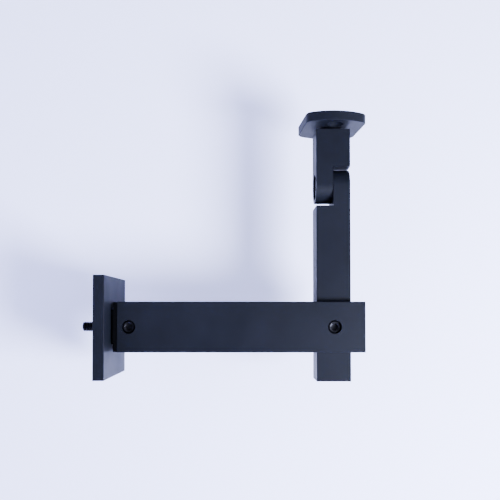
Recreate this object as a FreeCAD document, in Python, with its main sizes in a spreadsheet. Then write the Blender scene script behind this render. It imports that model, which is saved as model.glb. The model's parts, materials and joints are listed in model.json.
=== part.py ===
"""Adjustable wall bracket for a handrail, in millimetres.

A square wall plate and a spigot are held to the wall by one long screw. A square arm slides
over the spigot and is locked by a grub screw. A square post slides up and down through the
arm, locked by a second grub screw. The post ends in a half-lap knuckle, on which a stem tilts,
and a saddle plate swivels on top of the stem and is screwed to the underside of the rail.

Frame: the origin is the centre of the wall plate's back face, +X points away from the wall,
+Y along the rail and +Z up.
"""

import FreeCAD, Part
import Sketcher
import os

from FreeCAD import Placement, Rotation, Vector

# Driving dimensions. Each becomes a cell of the spreadsheet "Sizes" with this alias.
SIZES = {
    # wall plate
    "PlateSide": 60.0,
    "PlateThick": 6.5,
    "PlateEdge": 0.3,
    "PlateBore": 6.6,
    # spigot that carries the arm
    "SpigotSide": 20.4,
    "SpigotLength": 22.0,
    "SpigotBore": 6.6,
    "SeatDepth": 8.1,
    "SeatBore": 13.0,
    # screw that goes into the wall, and its washer
    "WasherThick": 1.6,
    "WasherBore": 6.4,
    "WasherWide": 12.0,
    "WallScrewThread": 6.0,
    "WallScrewThreadLength": 12.5,
    "WallScrewShank": 5.3,
    "WallScrewLength": 35.0,
    "WallScrewHead": 10.0,
    "WallScrewHeadTall": 6.0,
    "WallScrewKey": 5.0,
    "WallScrewKeyDeep": 3.0,
    # arm: square tube
    "ArmStart": 10.8,
    "ArmLength": 146.2,
    "ArmSide": 30.0,
    "ArmBore": 20.6,
    "ArmEdge": 0.5,
    "CapThick": 3.0,
    "CapEdge": 0.3,
    # seal on the arm's end at the wall
    "SealThick": 2.5,
    "SealInset": 0.3,
    # grub screws in the arm's side
    "GrubWide": 8.0,
    "GrubPlay": 0.07,
    "GrubLength": 3.0,
    "GrubChamfer": 0.9,
    "GrubKey": 4.0,
    "GrubKeyDeep": 2.0,
    "ArmGrubAt": 17.3,
    # post
    "PostAt": 139.0,
    "PostSide": 20.4,
    "PostPlay": 0.1,
    "PostEdge": 0.25,
    "PostBottom": 32.5,
    "PostShoulder": 72.8,
    # knuckle
    "PivotHeight": 85.5,
    "SeamGap": 0.2,
    "PivotShank": 8.0,
    "PivotPlay": 0.08,
    "PivotHead": 15.8,
    "PivotHeadSunk": 1.2,
    "PivotScrewLength": 16.6,
    "PivotKey": 5.0,
    "PivotKeyDeep": 2.6,
    "PivotThreadDeep": 8.6,
    # stem
    "StemShoulder": 96.2,
    "StemTop": 121.15,
    "NeckTall": 2.25,
    "NeckWide": 13.0,
    "StemThreadDeep": 14.0,
    # saddle plate: straight sides, rounded ends
    "SaddleSeatGap": 0.05,
    "SaddleWide": 36.0,
    "SaddleLong": 42.0,
    "SaddleThick": 5.5,
    "SaddleEndRadius": 32.0,
    "SaddleCorner": 5.5,
    "SaddleEdge": 0.35,
    "SaddleYaw": 5.5,
    "RailHoleAt": 12.0,
    "RailHole": 5.0,
    "RailHoleSink": 9.6,
    # screw that holds the saddle to the stem
    "SaddleScrewShank": 6.0,
    "SaddleScrewPlay": 0.08,
    "SaddleScrewHead": 11.6,
    "SaddleScrewSunk": 0.4,
    "SaddleScrewLength": 17.0,
    "SaddleScrewKey": 4.0,
    "SaddleScrewKeyDeep": 2.2,
}

ALONG_X = Rotation(Vector(0, 1, 0), 90)
ALONG_MINUS_Y = Rotation(Vector(1, 0, 0), 90)
CUT_PAST = "60"  # how far a cutting tool runs past the material

doc = FreeCAD.newDocument("HandrailBracket")
sheet = doc.addObject("Spreadsheet::Sheet", "Sizes")
for row, (alias, value) in enumerate(SIZES.items(), start=1):
    sheet.set(f"A{row}", alias)
    sheet.set(f"B{row}", str(value))
    sheet.setAlias(f"B{row}", alias)
doc.recompute()


def bind(item, **expressions):
    """Bind properties to sheet expressions. A double underscore in a name stands for a dot."""
    for name, expression in expressions.items():
        item.setExpression(name.replace("__", "."), expression)
    return item


def turned(item, rotation):
    """Turn a primitive about its own origin, before its position is bound."""
    item.Placement = Placement(Vector(), rotation)
    return item


def place(item, x="0", y="0", z="0"):
    return bind(
        item,
        Placement__Base__x=x,
        Placement__Base__y=y,
        Placement__Base__z=z,
    )


def box(name, size, corner):
    item = doc.addObject("Part::Box", name)
    bind(item, Length=size[0], Width=size[1], Height=size[2])
    return place(item, *corner)


def cylinder(name, radius, height, rotation, base):
    item = turned(doc.addObject("Part::Cylinder", name), rotation)
    bind(item, Radius=radius, Height=height)
    return place(item, *base)


def cone(name, first_radius, last_radius, height, rotation, base):
    item = turned(doc.addObject("Part::Cone", name), rotation)
    bind(item, Radius1=first_radius, Radius2=last_radius, Height=height)
    return place(item, *base)


def hexagon(name, across_flats, height, rotation, base):
    """A hexagonal prism, sized across its flats, for a key socket."""
    item = turned(doc.addObject("Part::Prism", name), rotation)
    item.Polygon = 6
    bind(item, Circumradius=f"{across_flats} / 2 / cos(30 deg)", Height=height)
    return place(item, *base)


def fuse(name, *items):
    joined = doc.addObject("Part::MultiFuse", name)
    joined.Shapes = list(items)
    return joined


def cut(name, base, *tools):
    """Take tools away from base, one boolean for each tool."""
    for number, tool in enumerate(tools, start=1):
        result = doc.addObject("Part::Cut", f"{name}_{number}")
        result.Base = base
        result.Tool = tool
        base = result
    base.Label = name
    return base


def rounded(name, base, radius, chosen, kind="Part::Fillet"):
    """Fillet or chamfer the edges of base for which chosen(edge) is true."""
    doc.recompute()
    numbers = [n for n, edge in enumerate(base.Shape.Edges, start=1) if chosen(edge)]
    result = doc.addObject(kind, name)
    result.Base = base
    result.Edges = [(n, radius, radius) for n in numbers]
    return result


def is_along(edge, direction):
    """Whether an edge is straight and parallel to direction."""
    if not isinstance(edge.Curve, Part.Line):
        return False
    return abs(abs(edge.Curve.Direction.dot(direction)) - 1) < 1e-6


def sketch_on(body, name, role, shift=None):
    """A sketch on one of the body's own origin planes, moved by bound offsets."""
    sketch = body.newObject("Sketcher::SketchObject", name)
    plane = next(f for f in body.Origin.OriginFeatures if f.Role == role)
    sketch.AttachmentSupport = [(plane, "")]
    sketch.MapMode = "FlatFace"
    for axis, expression in (shift or {}).items():
        sketch.setExpression(f"AttachmentOffset.Base.{axis}", expression)
    return sketch


def add_square(sketch, side):
    """A square centred on the sketch's origin, with its half side bound."""
    reach = 10.0
    corners = [(-reach, -reach), (reach, -reach), (reach, reach), (-reach, reach)]
    first = sketch.GeometryCount
    for number, (x, y) in enumerate(corners):
        end_x, end_y = corners[(number + 1) % 4]
        sketch.addGeometry(Part.LineSegment(Vector(x, y, 0), Vector(end_x, end_y, 0)))
    for number in range(4):
        following = first + (number + 1) % 4
        sketch.addConstraint(Sketcher.Constraint("Coincident", first + number, 2, following, 1))
        level = "Horizontal" if number % 2 == 0 else "Vertical"
        sketch.addConstraint(Sketcher.Constraint(level, first + number))
    sketch.addConstraint(Sketcher.Constraint("Symmetric", first, 1, first + 1, 2, -1, 1))
    for kind, line in (("DistanceX", first), ("DistanceY", first + 1)):
        number = sketch.addConstraint(Sketcher.Constraint(kind, line, 1, line, 2, 2 * reach))
        sketch.setExpression(f"Constraints[{number}]", side)


def add_circle(sketch, diameter, across="0"):
    """A circle on the sketch's horizontal axis, with its diameter and place bound."""
    circle = sketch.addGeometry(Part.Circle(Vector(1, 0, 0), Vector(0, 0, 1), 3.0))
    sketch.addConstraint(Sketcher.Constraint("PointOnObject", circle, 3, -1))
    number = sketch.addConstraint(Sketcher.Constraint("DistanceX", -1, 1, circle, 3, 1.0))
    sketch.setExpression(f"Constraints[{number}]", across)
    number = sketch.addConstraint(Sketcher.Constraint("Diameter", circle, 6.0))
    sketch.setExpression(f"Constraints[{number}]", diameter)


def new_body(name):
    return doc.addObject("PartDesign::Body", name)


def pad(body, name, sketch, length):
    feature = body.newObject("PartDesign::Pad", name)
    feature.Profile = sketch
    feature.setExpression("Length", length)
    sketch.Visibility = False
    doc.recompute()
    return feature


def pocket(body, name, sketch, length, backwards=False, both_ways=False):
    """Cut a sketch into the body, and stop if that takes nothing away."""
    before = body.Shape.Volume
    feature = body.newObject("PartDesign::Pocket", name)
    feature.Profile = sketch
    feature.setExpression("Length", length)
    feature.Reversed = backwards
    feature.Midplane = both_ways
    doc.recompute()
    if body.Shape.Volume > before - 1e-3:
        raise RuntimeError(f"{name} cuts nothing")
    return feature


def make_wall_plate():
    """Square plate with broken edges and a bore for the wall screw."""
    body = new_body("wall_plate")
    outline = sketch_on(body, "PlateOutline", "YZ_Plane")
    add_square(outline, "Sizes.PlateSide")
    block = pad(body, "PlatePad", outline, "Sizes.PlateThick")
    edges = body.newObject("PartDesign::Fillet", "PlateEdges")
    edges.Base = (block, [f"Edge{n}" for n in range(1, len(block.Shape.Edges) + 1)])
    edges.setExpression("Radius", "Sizes.PlateEdge")
    doc.recompute()
    bore = sketch_on(body, "PlateBoreSketch", "YZ_Plane")
    add_circle(bore, "Sizes.PlateBore")
    pocket(body, "PlateBorePocket", bore, "4 * Sizes.PlateThick", both_ways=True)
    return body


def make_spigot():
    """Square block on the wall plate that the arm slides over, seated for the wall screw."""
    side = "Sizes.SpigotSide"
    block = box(
        "SpigotBlock",
        ("Sizes.SpigotLength", side, side),
        ("Sizes.PlateThick", f"-{side} / 2", f"-{side} / 2"),
    )
    bore = cylinder("SpigotBoreTool", "Sizes.SpigotBore / 2", CUT_PAST, ALONG_X, ("0",))
    seat = cylinder(
        "SpigotSeatTool",
        "Sizes.SeatBore / 2",
        CUT_PAST,
        ALONG_X,
        ("Sizes.PlateThick + Sizes.SpigotLength - Sizes.SeatDepth",),
    )
    return cut("spigot", block, bore, seat)


def make_wall_washer():
    start = "Sizes.PlateThick + Sizes.SpigotLength - Sizes.SeatDepth"
    disc = cylinder("WasherDisc", "Sizes.WasherWide / 2", "Sizes.WasherThick", ALONG_X, (start,))
    bore = cylinder("WasherTool", "Sizes.WasherBore / 2", CUT_PAST, ALONG_X, ("0",))
    return cut("mounting_washer", disc, bore)


def make_wall_screw():
    """Socket-head screw through spigot and plate, its thread standing out behind the plate."""
    seat = "Sizes.PlateThick + Sizes.SpigotLength - Sizes.SeatDepth + Sizes.WasherThick"
    thread = cylinder(
        "WallScrewThreadBar",
        "Sizes.WallScrewThread / 2",
        "Sizes.WallScrewThreadLength",
        ALONG_X,
        (f"{seat} - Sizes.WallScrewLength",),
    )
    shank = cylinder(
        "WallScrewShankBar",
        "Sizes.WallScrewShank / 2",
        "Sizes.WallScrewLength",
        ALONG_X,
        (f"{seat} - Sizes.WallScrewLength",),
    )
    head = cylinder(
        "WallScrewHeadBar",
        "Sizes.WallScrewHead / 2",
        "Sizes.WallScrewHeadTall",
        ALONG_X,
        (seat,),
    )
    key = hexagon(
        "WallScrewKeyTool",
        "Sizes.WallScrewKey",
        CUT_PAST,
        ALONG_X,
        (f"{seat} + Sizes.WallScrewHeadTall - Sizes.WallScrewKeyDeep",),
    )
    return cut("mounting_screw", fuse("WallScrewBar", thread, shank, head), key)


def make_arm_tube():
    """Square tube with a square opening up through it for the post and two tapped holes."""
    body = new_body("arm_tube")
    section = sketch_on(body, "ArmSection", "YZ_Plane", {"z": "Sizes.ArmStart"})
    add_square(section, "Sizes.ArmSide")
    add_square(section, "Sizes.ArmBore")
    tube = pad(body, "ArmPad", section, "Sizes.ArmLength")
    half = SIZES["ArmSide"] / 2
    corners = [
        f"Edge{n}"
        for n, edge in enumerate(tube.Shape.Edges, start=1)
        if is_along(edge, Vector(1, 0, 0)) and abs(abs(edge.Vertexes[0].Y) - half) < 1e-6
    ]
    edges = body.newObject("PartDesign::Fillet", "ArmEdges")
    edges.Base = (tube, corners)
    edges.setExpression("Radius", "Sizes.ArmEdge")
    doc.recompute()
    opening = sketch_on(body, "PostOpening", "XY_Plane", {"x": "Sizes.PostAt"})
    add_square(opening, "Sizes.PostSide + 2 * Sizes.PostPlay")
    pocket(body, "PostOpeningPocket", opening, "2 * Sizes.ArmSide", both_ways=True)
    holes = sketch_on(body, "GrubHoles", "XZ_Plane")
    add_circle(holes, "Sizes.GrubWide + 2 * Sizes.GrubPlay", "Sizes.ArmGrubAt")
    add_circle(holes, "Sizes.GrubWide + 2 * Sizes.GrubPlay", "Sizes.PostAt")
    pocket(body, "GrubHolesPocket", holes, "Sizes.ArmSide", backwards=True)
    return body


def make_arm_end_cap():
    """Plate pressed into the free end of the arm, flush with it."""
    side = "Sizes.ArmBore"
    plate = box(
        "CapBlock",
        ("Sizes.CapThick", side, side),
        ("Sizes.ArmStart + Sizes.ArmLength - Sizes.CapThick", f"-{side} / 2", f"-{side} / 2"),
    )
    outer = SIZES["ArmStart"] + SIZES["ArmLength"]

    def on_outer_face(edge):
        return all(abs(v.X - outer) < 1e-6 for v in edge.Vertexes)

    return rounded("arm_end_cap", plate, SIZES["CapEdge"], on_outer_face, "Part::Chamfer")


def make_arm_seal():
    """Flat rubber frame on the arm's wall end that closes the gap towards the plate."""
    outer = "Sizes.ArmSide - 2 * Sizes.SealInset"
    start = "Sizes.ArmStart - Sizes.SealThick"
    block = box(
        "SealBlock",
        ("Sizes.SealThick", outer, outer),
        (start, f"-({outer}) / 2", f"-({outer}) / 2"),
    )
    opening = box(
        "SealTool",
        ("3 * Sizes.SealThick", "Sizes.ArmBore", "Sizes.ArmBore"),
        (f"{start} - Sizes.SealThick", "-Sizes.ArmBore / 2", "-Sizes.ArmBore / 2"),
    )
    return cut("arm_seal", block, opening)


def make_grub_screw(name, along_arm):
    """Short set screw in the arm's -Y wall, just clear of what it presses on."""
    tip = "-Sizes.ArmBore / 2"
    plain = "Sizes.GrubLength - Sizes.GrubChamfer"
    shank = cylinder(f"{name}_bar", "Sizes.GrubWide / 2", plain, ALONG_MINUS_Y, (along_arm, tip))
    end = cone(
        f"{name}_end",
        "Sizes.GrubWide / 2",
        "Sizes.GrubWide / 2 - Sizes.GrubChamfer",
        "Sizes.GrubChamfer",
        ALONG_MINUS_Y,
        (along_arm, f"{tip} - ({plain})"),
    )
    key = hexagon(
        f"{name}_key",
        "Sizes.GrubKey",
        CUT_PAST,
        ALONG_MINUS_Y,
        (along_arm, f"{tip} - Sizes.GrubLength + Sizes.GrubKeyDeep"),
    )
    return cut(name, fuse(f"{name}_blank", shank, end), key)


def square_bar(name, bottom, top):
    """A bar of the post's section between two heights, with its long edges broken."""
    side = "Sizes.PostSide"
    bar = box(
        f"{name}Bar",
        (side, side, f"{top} - {bottom}"),
        (f"Sizes.PostAt - {side} / 2", f"-{side} / 2", bottom),
    )

    def on_corner(edge):
        return is_along(edge, Vector(0, 0, 1))

    return rounded(f"{name}Edges", bar, SIZES["PostEdge"], on_corner)


def round_end(name):
    """The disc that rounds a tongue of the knuckle off about the pivot."""
    return cylinder(
        name,
        "Sizes.PostSide / 2",
        "Sizes.PostSide",
        ALONG_X,
        ("Sizes.PostAt - Sizes.PostSide / 2", "0", "Sizes.PivotHeight"),
    )


def make_post():
    """Square bar that ends in the +X half of the knuckle, with a blind thread in its tongue."""
    bar = square_bar("Post", "-Sizes.PostBottom", "Sizes.PivotHeight")
    blank = fuse("PostBlank", bar, round_end("PostRound"))
    clear_half = box(
        "PostLapTool",
        (CUT_PAST, CUT_PAST, CUT_PAST),
        (
            f"Sizes.PostAt + Sizes.SeamGap / 2 - {CUT_PAST}",
            f"-{CUT_PAST} / 2",
            "Sizes.PostShoulder",
        ),
    )
    thread = cylinder(
        "PostThreadTool",
        "Sizes.PivotShank / 2",
        "Sizes.PivotThreadDeep",
        ALONG_X,
        ("Sizes.PostAt + Sizes.SeamGap / 2", "0", "Sizes.PivotHeight"),
    )
    return cut("post", blank, clear_half, thread)


def pivot_head_parts(name, grow):
    """The pivot screw's countersunk head and shank, or with grow the recess that clears them."""
    face = "Sizes.PostAt - Sizes.PostSide / 2 + Sizes.PivotHeadSunk"
    wide = f"Sizes.PivotHead / 2 + {grow}"
    thin = f"Sizes.PivotShank / 2 + {grow}"
    head = cone(
        f"{name}Cone",
        wide,
        thin,
        "(Sizes.PivotHead - Sizes.PivotShank) / 2",
        ALONG_X,
        (face, "0", "Sizes.PivotHeight"),
    )
    shank = cylinder(
        f"{name}Shank",
        thin,
        "Sizes.PivotScrewLength",
        ALONG_X,
        (face, "0", "Sizes.PivotHeight"),
    )
    return head, shank


def make_pivot_screw():
    """Countersunk socket screw that the stem tilts on. It is threaded into the post."""
    key = hexagon(
        "PivotKeyTool",
        "Sizes.PivotKey",
        "Sizes.PivotKeyDeep",
        ALONG_X,
        ("Sizes.PostAt - Sizes.PostSide / 2 + Sizes.PivotHeadSunk", "0", "Sizes.PivotHeight"),
    )
    return cut("pivot_screw", fuse("PivotBlank", *pivot_head_parts("PivotScrew", "0")), key)


def make_stem():
    """Square bar above the knuckle: tongue on the -X side, screw recess, neck and top thread."""
    shoulder = "Sizes.StemTop - Sizes.NeckTall"
    bar = square_bar("Stem", "Sizes.PivotHeight", shoulder)
    neck = cylinder(
        "StemNeckBar",
        "Sizes.NeckWide / 2",
        "2 * Sizes.NeckTall",
        Rotation(),
        ("Sizes.PostAt", "0", f"{shoulder} - Sizes.NeckTall"),
    )
    blank = fuse("StemBlank", bar, neck, round_end("StemRound"))
    clear_half = box(
        "StemLapTool",
        (CUT_PAST, CUT_PAST, CUT_PAST),
        (
            "Sizes.PostAt - Sizes.SeamGap / 2",
            f"-{CUT_PAST} / 2",
            f"Sizes.StemShoulder - {CUT_PAST}",
        ),
    )
    mouth = cylinder(
        "StemMouthTool",
        "Sizes.PivotHead / 2 + Sizes.PivotPlay",
        "Sizes.PivotHeadSunk",
        ALONG_X,
        ("Sizes.PostAt - Sizes.PostSide / 2", "0", "Sizes.PivotHeight"),
    )
    sink, bore = pivot_head_parts("StemRecess", "Sizes.PivotPlay")
    thread = cylinder(
        "StemThreadTool",
        "Sizes.SaddleScrewShank / 2",
        "Sizes.StemThreadDeep",
        Rotation(),
        ("Sizes.PostAt", "0", "Sizes.StemTop - Sizes.StemThreadDeep"),
    )
    return cut("stem", blank, clear_half, mouth, sink, bore, thread)


def add_saddle_outline(sketch):
    """Two straight sides along Y, joined by a shallow arc at each end."""
    wide, long = SIZES["SaddleWide"] / 2, SIZES["SaddleLong"] / 2
    radius = SIZES["SaddleEndRadius"]
    drop = radius - (radius**2 - wide**2) ** 0.5
    corner = long - drop
    for side in (1, -1):
        start, end = Vector(side * wide, -side * corner, 0), Vector(side * wide, side * corner, 0)
        line = sketch.addGeometry(Part.LineSegment(start, end))
        sketch.addConstraint(Sketcher.Constraint("Vertical", line))
        across = Vector(-side * wide, side * corner, 0)
        arc = Part.Arc(end, Vector(0, side * long, 0), across)
        sketch.addGeometry(arc)
    # geometry: 0 +X side, 1 +Y end, 2 -X side, 3 -Y end
    ends = [(0, 2, 1, 1), (1, 2, 2, 1), (2, 2, 3, 1), (3, 2, 0, 1)]
    for first, first_end, second, second_end in ends:
        link = Sketcher.Constraint("Coincident", first, first_end, second, second_end)
        sketch.addConstraint(link)
    sketch.addConstraint(Sketcher.Constraint("Symmetric", 0, 1, 2, 1, -1, 1))
    sketch.addConstraint(Sketcher.Constraint("PointOnObject", 1, 3, -2))
    sketch.addConstraint(Sketcher.Constraint("PointOnObject", 3, 3, -2))
    bound = [
        (Sketcher.Constraint("DistanceX", 2, 1, 0, 2, 2 * wide), "Sizes.SaddleWide"),
        (Sketcher.Constraint("Radius", 1, radius), "Sizes.SaddleEndRadius"),
        (Sketcher.Constraint("Radius", 3, radius), "Sizes.SaddleEndRadius"),
        (
            Sketcher.Constraint("DistanceY", 1, 3, -1, 1, radius - long),
            "Sizes.SaddleEndRadius - Sizes.SaddleLong / 2",
        ),
    ]
    for constraint, expression in bound:
        number = sketch.addConstraint(constraint)
        sketch.setExpression(f"Constraints[{number}]", expression)


def make_saddle_plate():
    """Plate under the rail: a centre hole sunk from above, two rail-screw holes from below."""
    body = new_body("SaddleBlank")
    outline = sketch_on(body, "SaddleOutline", "XY_Plane")
    add_saddle_outline(outline)
    block = pad(body, "SaddlePad", outline, "Sizes.SaddleThick")
    upright = [n for n, e in enumerate(block.Shape.Edges, start=1) if is_along(e, Vector(0, 0, 1))]
    corners = body.newObject("PartDesign::Fillet", "SaddleCorners")
    corners.Base = (block, [f"Edge{n}" for n in upright])
    corners.setExpression("Radius", "Sizes.SaddleCorner")
    doc.recompute()
    rim = [n for n, e in enumerate(corners.Shape.Edges, start=1) if e.BoundBox.ZLength < 1e-6]
    edges = body.newObject("PartDesign::Chamfer", "SaddleEdges")
    edges.Base = (corners, [f"Edge{n}" for n in rim])
    edges.setExpression("Size", "Sizes.SaddleEdge")
    tools = []
    for side, label in ((-1, "Near"), (1, "Far")):
        at = ("0", f"{side} * Sizes.RailHoleAt", "0")
        bore = cylinder(
            f"{label}BoreTool", "Sizes.RailHole / 2", CUT_PAST, Rotation(), at
        )
        sink = cone(
            f"{label}SinkTool",
            "Sizes.RailHoleSink / 2",
            "Sizes.RailHole / 2",
            "(Sizes.RailHoleSink - Sizes.RailHole) / 2",
            Rotation(),
            at,
        )
        tools += [bore, sink]
    shank = "Sizes.SaddleScrewShank / 2 + Sizes.SaddleScrewPlay"
    head = "Sizes.SaddleScrewHead / 2 + Sizes.SaddleScrewPlay"
    fall = "(Sizes.SaddleScrewHead - Sizes.SaddleScrewShank) / 2"
    face = "Sizes.SaddleThick - Sizes.SaddleScrewSunk"
    tools += [
        cylinder("CentreBoreTool", shank, CUT_PAST, Rotation(), ("0",)),
        cone("CentreSinkTool", shank, head, fall, Rotation(), ("0", "0", f"{face} - {fall}")),
        cylinder("CentreMouthTool", head, CUT_PAST, Rotation(), ("0", "0", face)),
    ]
    plate = cut("saddle_plate", body, *tools)
    plate.Placement = Placement(Vector(), Rotation(Vector(0, 0, 1), SIZES["SaddleYaw"]))
    return place(plate, "Sizes.PostAt", "0", "Sizes.StemTop + Sizes.SaddleSeatGap")


def make_saddle_screw():
    """Countersunk socket screw down through the saddle into the stem."""
    top = "Sizes.StemTop + Sizes.SaddleSeatGap + Sizes.SaddleThick - Sizes.SaddleScrewSunk"
    fall = "(Sizes.SaddleScrewHead - Sizes.SaddleScrewShank) / 2"
    head = cone(
        "SaddleScrewCone",
        "Sizes.SaddleScrewShank / 2",
        "Sizes.SaddleScrewHead / 2",
        fall,
        Rotation(),
        ("Sizes.PostAt", "0", f"{top} - {fall}"),
    )
    shank = cylinder(
        "SaddleScrewBar",
        "Sizes.SaddleScrewShank / 2",
        "Sizes.SaddleScrewLength",
        Rotation(),
        ("Sizes.PostAt", "0", f"{top} - Sizes.SaddleScrewLength"),
    )
    key = hexagon(
        "SaddleScrewKeyTool",
        "Sizes.SaddleScrewKey",
        CUT_PAST,
        Rotation(),
        ("Sizes.PostAt", "0", f"{top} - Sizes.SaddleScrewKeyDeep"),
    )
    return cut("saddle_screw", fuse("SaddleScrewBlank", head, shank), key)


def check(items):
    """Stop if any object failed to build, or if a sub-part has no sound shape."""
    failed = [o.Name for o in doc.Objects if "Invalid" in o.State or "Error" in o.State]
    if failed:
        raise RuntimeError(f"failed objects: {failed}")
    for item in items:
        if item.Shape.isNull() or not item.Shape.isValid() or len(item.Shape.Solids) != 1:
            raise RuntimeError(f"{item.Label} is not one sound solid")


parts = [
    make_wall_plate(),
    make_spigot(),
    make_wall_washer(),
    make_wall_screw(),
    make_arm_tube(),
    make_arm_end_cap(),
    make_arm_seal(),
    make_grub_screw("arm_grub_screw", "Sizes.ArmGrubAt"),
    make_grub_screw("post_grub_screw", "Sizes.PostAt"),
    make_post(),
    make_pivot_screw(),
    make_stem(),
    make_saddle_plate(),
    make_saddle_screw(),
]
doc.recompute()
check(parts)
os.makedirs("parts", exist_ok=True)
for part in parts:
    part.Shape.exportStep(f"parts/{part.Label}.step")
    bounds = part.Shape.BoundBox
    print(
        f"{part.Label:18s} {part.Shape.Volume:10.1f} mm3",
        f"x {bounds.XMin:7.2f} {bounds.XMax:7.2f}",
        f"y {bounds.YMin:7.2f} {bounds.YMax:7.2f}",
        f"z {bounds.ZMin:7.2f} {bounds.ZMax:7.2f}",
    )
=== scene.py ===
"""Looks for an adjustable handrail wall bracket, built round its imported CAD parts.

The CAD parts keep their shapes and get a satin black powder coat and softened edges. The screws
are rebuilt with real threads and key sockets. Lengths are in metres, in the CAD's own frame:
+X away from the wall, +Y along the rail, +Z up.
"""

import json
import math

import bpy
from mathutils import Matrix, Vector


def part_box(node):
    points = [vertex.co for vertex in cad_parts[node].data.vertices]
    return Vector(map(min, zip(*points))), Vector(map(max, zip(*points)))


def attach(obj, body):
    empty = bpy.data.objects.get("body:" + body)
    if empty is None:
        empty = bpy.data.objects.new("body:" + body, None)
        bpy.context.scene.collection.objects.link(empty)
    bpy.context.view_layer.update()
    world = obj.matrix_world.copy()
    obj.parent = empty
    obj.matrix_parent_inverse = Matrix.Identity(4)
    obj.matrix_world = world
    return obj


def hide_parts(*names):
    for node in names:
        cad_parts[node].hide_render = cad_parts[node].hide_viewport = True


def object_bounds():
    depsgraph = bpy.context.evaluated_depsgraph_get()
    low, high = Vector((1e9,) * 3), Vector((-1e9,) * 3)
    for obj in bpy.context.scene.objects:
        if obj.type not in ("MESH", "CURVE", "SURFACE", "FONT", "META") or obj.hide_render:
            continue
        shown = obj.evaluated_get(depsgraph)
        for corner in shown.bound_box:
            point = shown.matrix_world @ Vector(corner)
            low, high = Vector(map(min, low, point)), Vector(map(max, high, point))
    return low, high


MM = 0.001

# Camera: nearly level, looking along +Y at the bracket's side.
CAMERA_PLACE = Vector((86.9, -374.0, 9.3)) * MM
CAMERA_LENS = 43.9
CAMERA_SHIFT = (0.007, 0.0905)
CAMERA_TILT = math.radians(1.5)  # upwards
CAMERA_NEAR = 10 * MM

# Stage: a floor that sweeps up into a backdrop close behind the bracket.
BACKDROP_BEHIND = 30 * MM  # from the wall plate's far side
FLOOR_BELOW = 560 * MM  # from the post's lower end
SWEEP_RADIUS = 60 * MM
STAGE_HALF_WIDTH = 1.5
STAGE_HEIGHT = 1.5
STAGE_DEPTH = 2.0
SIDE_WALL_BEHIND = 0.55  # from the bracket's wall end
SIDE_WALL_LENGTH = 1.3
SWEEP_STEPS = 16
PAPER_COLOUR = (0.73, 0.745, 0.96)
PAPER_ROUGHNESS = 0.9
PAPER_REFLECTANCE = 0.1

# Lights. The key is to the right of the camera and below it, so shadows fall to the left and up.
KEY_DIRECTION = Vector((1.0, -1.0, -0.5))
KEY_DISTANCE = 0.7
KEY_SIZE = 0.28
KEY_POWER = 33.0
KEY_COLOUR = (0.74, 0.79, 1.0)
BACKLIGHT_COLOUR = (0.68, 0.71, 1.0)
BACKLIGHT_STRENGTH = 0.55
WORLD_COLOUR = (0.69, 0.73, 1.0)
WORLD_STRENGTH = 4.4
# The world's brightness fades along X and along Z, each between two (direction, brightness) pairs.
WORLD_ACROSS = ((-0.15, 0.02), (0.6, 1.0))
WORLD_UPWARDS = ((0.22, 1.0), (0.36, 0.06))

# Surface noise: the middle stretch that roughness is spread over, where the first colour ends
# and the second begins, and the detail of the fine grain.
NOISE_MIDDLE = (0.35, 0.65)
COLOUR_STOPS = (0.3, 0.7)
GRAIN_DETAIL = 2

# Screw threads: crest radius and pitch. The groove is GROOVE of the pitch deep.
M6 = (3.0 * MM, 1.0 * MM)
M8 = (4.0 * MM, 1.25 * MM)
GROOVE = 0.58
FLANK_SLOPE = 1.3
ROOT_FLAT = 0.1
TIP_TAPER = 0.1 * MM
THREAD_RUNOUT = 0.3 * MM
ROWS_PER_PITCH = 10
SIDES = 72

# Screw heads and their hexagon sockets.
CAP_EDGE = 0.4 * MM
SUNK_EDGE = 0.12 * MM
SET_SCREW_BEVEL = 0.9 * MM
SOCKET_BEVEL = 0.2 * MM
SOCKET_FLOOR = 0.9  # of the key's width
DRILL_POINT = 0.4 * MM

# node: outward direction, thread, threaded length, head, head height, key size, key depth
SCREWS = {
    "mounting_screw": ((1, 0, 0), M6, 24 * MM, "cap", 6 * MM, 5 * MM, 3 * MM),
    "pivot_screw": ((-1, 0, 0), M8, 9 * MM, "sunk", 0, 5 * MM, 2.6 * MM),
    "saddle_screw": ((0, 0, 1), M6, 11 * MM, "sunk", 0, 4 * MM, 2.2 * MM),
    "arm_grub_screw": ((0, -1, 0), M8, 2.0 * MM, "none", 0, 4 * MM, 2.5 * MM),
    "post_grub_screw": ((0, -1, 0), M8, 2.0 * MM, "none", 0, 4 * MM, 2.5 * MM),
}

# Softened edges of the powder-coated parts.
EDGE_BEVEL = 0.3 * MM
EDGE_ANGLE = math.radians(35)
EDGE_SEGMENTS = 3
COATED = ("wall_plate", "spigot", "arm_tube", "arm_end_cap", "post", "stem", "saddle_plate")


def new_material(name):
    """A material with only its Principled shader, and that shader."""
    material = bpy.data.materials.new(name)
    material.use_nodes = True
    return material, material.node_tree.nodes["Principled BSDF"]


def add_noise(tree, scale, detail):
    """3-D noise in the object's own coordinates. scale is in features per metre."""
    place = tree.nodes.new("ShaderNodeTexCoord")
    noise = tree.nodes.new("ShaderNodeTexNoise")
    noise.inputs["Scale"].default_value = scale
    noise.inputs["Detail"].default_value = detail
    tree.links.new(place.outputs["Object"], noise.inputs["Vector"])
    return noise.outputs["Fac"]


def add_fade(tree, value, start, end):
    """Fade between two (value, result) pairs, and stay level outside them."""
    fade = tree.nodes.new("ShaderNodeMapRange")
    fade.inputs["From Min"].default_value, fade.inputs["To Min"].default_value = start
    fade.inputs["From Max"].default_value, fade.inputs["To Max"].default_value = end
    tree.links.new(value, fade.inputs["Value"])
    return fade.outputs["Result"]


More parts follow.
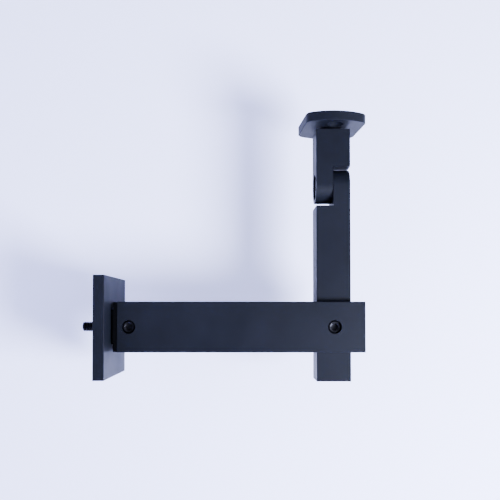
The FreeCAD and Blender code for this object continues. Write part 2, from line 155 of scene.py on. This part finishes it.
def add_bump(tree, shader, height, strength, distance):
    bump = tree.nodes.new("ShaderNodeBump")
    bump.inputs["Strength"].default_value = strength
    bump.inputs["Distance"].default_value = distance
    tree.links.new(height, bump.inputs["Height"])
    tree.links.new(bump.outputs["Normal"], shader.inputs["Normal"])


def add_two_colours(tree, shader, value, colours):
    ramp = tree.nodes.new("ShaderNodeValToRGB")
    for element, position, colour in zip(ramp.color_ramp.elements, COLOUR_STOPS, colours):
        element.position = position
        element.color = (*colour, 1)
    tree.links.new(value, ramp.inputs["Fac"])
    tree.links.new(ramp.outputs["Color"], shader.inputs["Base Color"])


def make_finish(name, metallic, reflectance, patches, colours, marks, roughness, grain, relief):
    """A surface with patchy colour, uneven gloss and a fine grain.

    patches and marks are their noise's scale and detail, and grain is its noise's scale. relief is
    the grain's strength and depth.
    """
    material, shader = new_material(name)
    tree = material.node_tree
    shader.inputs["Metallic"].default_value = metallic
    shader.inputs["Specular IOR Level"].default_value = reflectance
    add_two_colours(tree, shader, add_noise(tree, *patches), colours)
    gloss = add_fade(tree, add_noise(tree, *marks), *zip(NOISE_MIDDLE, roughness))
    tree.links.new(gloss, shader.inputs["Roughness"])
    add_bump(tree, shader, add_noise(tree, grain, GRAIN_DETAIL), *relief)
    return material


def make_powder_coat():
    """Satin black, slightly blue, with a fine orange-peel surface and faint handling marks."""
    return make_finish(
        "powder_coat",
        metallic=0.0,
        reflectance=0.07,
        patches=(45, 3),
        colours=((0.0028, 0.0033, 0.0052), (0.0040, 0.0046, 0.0072)),
        marks=(28, 5),
        roughness=(0.42, 0.5),
        grain=1500,
        relief=(0.12, 0.05 * MM),
    )


def make_black_oxide():
    """The dark, slightly oily finish of hardened socket screws."""
    return make_finish(
        "black_oxide",
        metallic=0.7,
        reflectance=0.3,
        patches=(600, 3),
        colours=((0.003, 0.003, 0.004), (0.006, 0.006, 0.008)),
        marks=(900, 3),
        roughness=(0.28, 0.42),
        grain=3000,
        relief=(0.1, 0.03 * MM),
    )


def make_seal_painted_shadow():
    """Near-black seal finish: painted shadow of the gap between wall plate and arm."""
    return make_finish(
        "seal_painted_gap_shadow",
        metallic=0.0,
        reflectance=0.02,
        patches=(300, 3),
        colours=((0.0004, 0.0004, 0.0006), (0.0008, 0.0008, 0.001)),
        marks=(700, 3),
        roughness=(0.6, 0.75),
        grain=2500,
        relief=(0.1, 0.03 * MM),
    )


def make_zinc():
    """Bright zinc plating with a slight cloudiness."""
    return make_finish(
        "zinc_plating",
        metallic=1.0,
        reflectance=0.5,
        patches=(500, 4),
        colours=((0.5, 0.5, 0.52), (0.66, 0.66, 0.68)),
        marks=(800, 3),
        roughness=(0.25, 0.4),
        grain=2500,
        relief=(0.08, 0.03 * MM),
    )


def make_stage_material():
    """Matt pale paper with some light through it, clear from behind for views from the back."""
    material, shader = new_material("stage_paper")
    tree = material.node_tree
    shader.inputs["Base Color"].default_value = (*PAPER_COLOUR, 1)
    shader.inputs["Roughness"].default_value = PAPER_ROUGHNESS
    shader.inputs["Specular IOR Level"].default_value = PAPER_REFLECTANCE
    shader.inputs["Emission Color"].default_value = (*BACKLIGHT_COLOUR, 1)
    shader.inputs["Emission Strength"].default_value = BACKLIGHT_STRENGTH
    side = tree.nodes.new("ShaderNodeNewGeometry")
    clear = tree.nodes.new("ShaderNodeBsdfTransparent")
    mix = tree.nodes.new("ShaderNodeMixShader")
    tree.links.new(side.outputs["Backfacing"], mix.inputs["Fac"])
    tree.links.new(shader.outputs["BSDF"], mix.inputs[1])
    tree.links.new(clear.outputs["BSDF"], mix.inputs[2])
    tree.links.new(mix.outputs["Shader"], tree.nodes["Material Output"].inputs["Surface"])
    return material


def set_material(obj, material):
    obj.data.materials.clear()
    obj.data.materials.append(material)


def smooth(mesh):
    """Smooth shading, with creases kept sharp."""
    mesh.polygons.foreach_set("use_smooth", [True] * len(mesh.polygons))
    mesh.set_sharp_from_angle(angle=EDGE_ANGLE)


def make_polar_mesh(name, rings):
    """A closed mesh of rings about Z. Each ring is a list of SIDES pairs (radius, height)."""
    points = []
    for ring in rings:
        for step, (radius, height) in enumerate(ring):
            turn = math.tau * step / SIDES
            points.append((radius * math.cos(turn), radius * math.sin(turn), height))
    faces = []
    for row in range(len(rings) - 1):
        for step in range(SIDES):
            following = (step + 1) % SIDES
            low, high = row * SIDES, (row + 1) * SIDES
            faces.append((low + step, low + following, high + following, high + step))
    for row, flipped in ((0, True), (len(rings) - 1, False)):
        centre = len(points)
        height = sum(h for _, h in rings[row]) / SIDES
        points.append((0, 0, height if flipped else height - DRILL_POINT))
        for step in range(SIDES):
            edge = (row * SIDES + step, row * SIDES + (step + 1) % SIDES)
            faces.append((centre, *(reversed(edge) if flipped else edge)))
    mesh = bpy.data.meshes.new(name)
    mesh.from_pydata(points, [], faces)
    mesh.update()
    smooth(mesh)
    return mesh


def circle(radius, height):
    return [(radius, height)] * SIDES


def hexagon(across_flats, height):
    """A ring in the shape of a hexagon."""
    ring = []
    for step in range(SIDES):
        turn = math.tau * step / SIDES
        from_flat = (turn % (math.pi / 3)) - math.pi / 6
        ring.append((across_flats / 2 / math.cos(from_flat), height))
    return ring


def thread_rings(thread, length):
    """Rings of a screw thread from its tip at height 0, chamfered at the tip."""
    crest, pitch = thread
    depth = GROOVE * pitch
    rows = round(length / pitch * ROWS_PER_PITCH)
    rings = [circle(crest - depth - TIP_TAPER, 0)]
    for row in range(1, rows + 1):
        height = length * row / rows
        ring = []
        for step in range(SIDES):
            phase = (height / pitch - step / SIDES) % 1
            rise = min(1, max(0, FLANK_SLOPE * abs(2 * phase - 1) - ROOT_FLAT))
            chamfer = crest - depth + height
            ring.append((min(crest - depth * (1 - rise), chamfer), height))
        rings.append(ring)
    return rings


def head_rings(head, crest, top, tall, radius):
    """Rings from the shank's end to the rim of the top face, which is the last ring."""
    if head == "cap":
        return [
            circle(crest, top - tall),
            circle(radius - CAP_EDGE / 2, top - tall),
            circle(radius, top - tall + CAP_EDGE / 2),
            circle(radius, top - CAP_EDGE),
            circle(radius - CAP_EDGE, top),
        ]
    if head == "sunk":
        return [
            circle(crest, top - (radius - crest)),
            circle(radius - SUNK_EDGE, top - SUNK_EDGE),
            circle(radius - SUNK_EDGE, top - SUNK_EDGE / 3),
            circle(radius - 2 * SUNK_EDGE, top),
        ]
    return [circle(crest, top - SET_SCREW_BEVEL), circle(crest - SET_SCREW_BEVEL, top)]


def make_screw(node, material):
    """Rebuild one screw in the place and the length of its CAD node."""
    outward, thread, threaded, head, tall, key, key_depth = SCREWS[node]
    outward = Vector(outward)
    low, high = (Vector(corner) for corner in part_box(node))
    length = abs((high - low).dot(outward))
    across = max((high - low)[axis] for axis in range(3) if not outward[axis])
    tip = (low + high) / 2 - outward * length / 2
    crest, _ = thread
    rings = thread_rings(thread, threaded)
    if head != "none":
        rings.append(circle(crest, threaded + THREAD_RUNOUT))
    rings += head_rings(head, crest, length, tall, across / 2)
    corner = key / 2 / math.cos(math.pi / 6)
    rings.append(circle(corner + SOCKET_BEVEL / 2, length))
    rings.append(hexagon(key, length - SOCKET_BEVEL))
    rings.append(hexagon(key, length - key_depth))
    rings.append(circle(key / 2 * SOCKET_FLOOR, length - key_depth))
    screw = bpy.data.objects.new(f"{node}_threaded", make_polar_mesh(node, rings))
    bpy.context.collection.objects.link(screw)
    turn = outward.to_track_quat("Z", "Y").to_matrix().to_4x4()
    screw.matrix_world = Matrix.Translation(tip) @ turn
    set_material(screw, material)
    return screw


def add_edge_bevel(obj):
    bevel = obj.modifiers.new("soft_edges", "BEVEL")
    bevel.width = EDGE_BEVEL
    bevel.segments = EDGE_SEGMENTS
    bevel.limit_method = "ANGLE"
    bevel.angle_limit = EDGE_ANGLE
    bevel.harden_normals = True


def add_sheet(name, points, faces, material):
    mesh = bpy.data.meshes.new(name)
    mesh.from_pydata(points, [], faces)
    mesh.polygons.foreach_set("use_smooth", [True] * len(mesh.polygons))
    sheet = bpy.data.objects.new(name, mesh)
    bpy.context.collection.objects.link(sheet)
    set_material(sheet, material)


def make_stage(low, high, material):
    """A floor that curves up into a backdrop, and a wall at the wall plate's side."""
    wall_y = high.y + BACKDROP_BEHIND
    floor_z = low.z - FLOOR_BELOW
    centre_x = (low.x + high.x) / 2
    section = [(wall_y - STAGE_DEPTH, floor_z)]
    for step in range(SWEEP_STEPS + 1):
        turn = math.pi / 2 * step / SWEEP_STEPS
        along = wall_y - SWEEP_RADIUS + SWEEP_RADIUS * math.sin(turn)
        section.append((along, floor_z + SWEEP_RADIUS * (1 - math.cos(turn))))
    section.append((wall_y, floor_z + STAGE_HEIGHT))
    points = []
    for y, z in section:
        points += [(centre_x - STAGE_HALF_WIDTH, y, z), (centre_x + STAGE_HALF_WIDTH, y, z)]
    faces = [(2 * n, 2 * n + 1, 2 * n + 3, 2 * n + 2) for n in range(len(section) - 1)]
    add_sheet("backdrop", points, faces, material)
    side_x = low.x - SIDE_WALL_BEHIND
    corners = [
        (side_x, y, z)
        for y, z in (
            (wall_y, floor_z),
            (wall_y, floor_z + STAGE_HEIGHT),
            (wall_y - SIDE_WALL_LENGTH, floor_z + STAGE_HEIGHT),
            (wall_y - SIDE_WALL_LENGTH, floor_z),
        )
    ]
    add_sheet("side_wall", corners, [(0, 1, 2, 3)], material)


def add_area_light(name, target, direction, distance, size, power, colour):
    light = bpy.data.lights.new(name, "AREA")
    light.shape = "DISK"
    light.size = size
    light.energy = power
    light.color = colour
    lamp = bpy.data.objects.new(name, light)
    bpy.context.collection.objects.link(lamp)
    lamp.location = target + direction.normalized() * distance
    lamp.rotation_euler = direction.to_track_quat("Z", "Y").to_euler()
    lamp.visible_camera = False


def set_world():
    """Soft light from the arm's free end and from below, dim from the wall and from above."""
    world = bpy.data.worlds.new("studio")
    world.use_nodes = True
    tree = world.node_tree
    background = tree.nodes["Background"]
    background.inputs["Color"].default_value = (*WORLD_COLOUR, 1)
    place = tree.nodes.new("ShaderNodeTexCoord")
    parts = tree.nodes.new("ShaderNodeSeparateXYZ")
    tree.links.new(place.outputs["Generated"], parts.inputs["Vector"])
    across = add_fade(tree, parts.outputs["X"], *WORLD_ACROSS)
    height = add_fade(tree, parts.outputs["Z"], *WORLD_UPWARDS)
    product = tree.nodes.new("ShaderNodeMath")
    product.operation = "MULTIPLY"
    tree.links.new(across, product.inputs[0])
    tree.links.new(height, product.inputs[1])
    scaled = tree.nodes.new("ShaderNodeMath")
    scaled.operation = "MULTIPLY"
    scaled.inputs[1].default_value = WORLD_STRENGTH
    tree.links.new(product.outputs["Value"], scaled.inputs[0])
    tree.links.new(scaled.outputs["Value"], background.inputs["Strength"])
    bpy.context.scene.world = world


def add_camera():
    camera = bpy.data.cameras.new("camera")
    camera.lens = CAMERA_LENS
    camera.shift_x, camera.shift_y = CAMERA_SHIFT
    camera.clip_start = CAMERA_NEAR
    eye = bpy.data.objects.new("camera", camera)
    bpy.context.collection.objects.link(eye)
    eye.location = CAMERA_PLACE
    eye.rotation_euler = (math.pi / 2 + CAMERA_TILT, 0, 0)
    bpy.context.scene.camera = eye


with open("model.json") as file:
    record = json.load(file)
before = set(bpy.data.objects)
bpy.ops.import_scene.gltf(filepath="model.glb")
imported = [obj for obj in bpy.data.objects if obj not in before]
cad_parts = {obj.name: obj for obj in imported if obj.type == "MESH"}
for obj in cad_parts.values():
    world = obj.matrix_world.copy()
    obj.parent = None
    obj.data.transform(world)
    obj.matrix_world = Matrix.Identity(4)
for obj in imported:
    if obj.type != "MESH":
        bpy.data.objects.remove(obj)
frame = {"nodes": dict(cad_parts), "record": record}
cad_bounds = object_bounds()
low, high = (Vector(corner) for corner in cad_bounds)
centre = (low + high) / 2

powder_coat = make_powder_coat()
black_oxide = make_black_oxide()

for node in COATED:
    set_material(frame["nodes"][node], powder_coat)
    add_edge_bevel(frame["nodes"][node])
# The seal's near-black finish is painted shadow of the gap between wall plate and arm.
set_material(frame["nodes"]["arm_seal"], make_seal_painted_shadow())
set_material(frame["nodes"]["mounting_washer"], make_zinc())

bodies = frame["record"]["behaviour"]["bodies"]
for node in SCREWS:
    screw = make_screw(node, black_oxide)
    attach(screw, next(body for body, nodes in bodies.items() if node in nodes))
    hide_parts(node)

make_stage(low, high, make_stage_material())
add_area_light("key", centre, KEY_DIRECTION, KEY_DISTANCE, KEY_SIZE, KEY_POWER, KEY_COLOUR)
set_world()
add_camera()
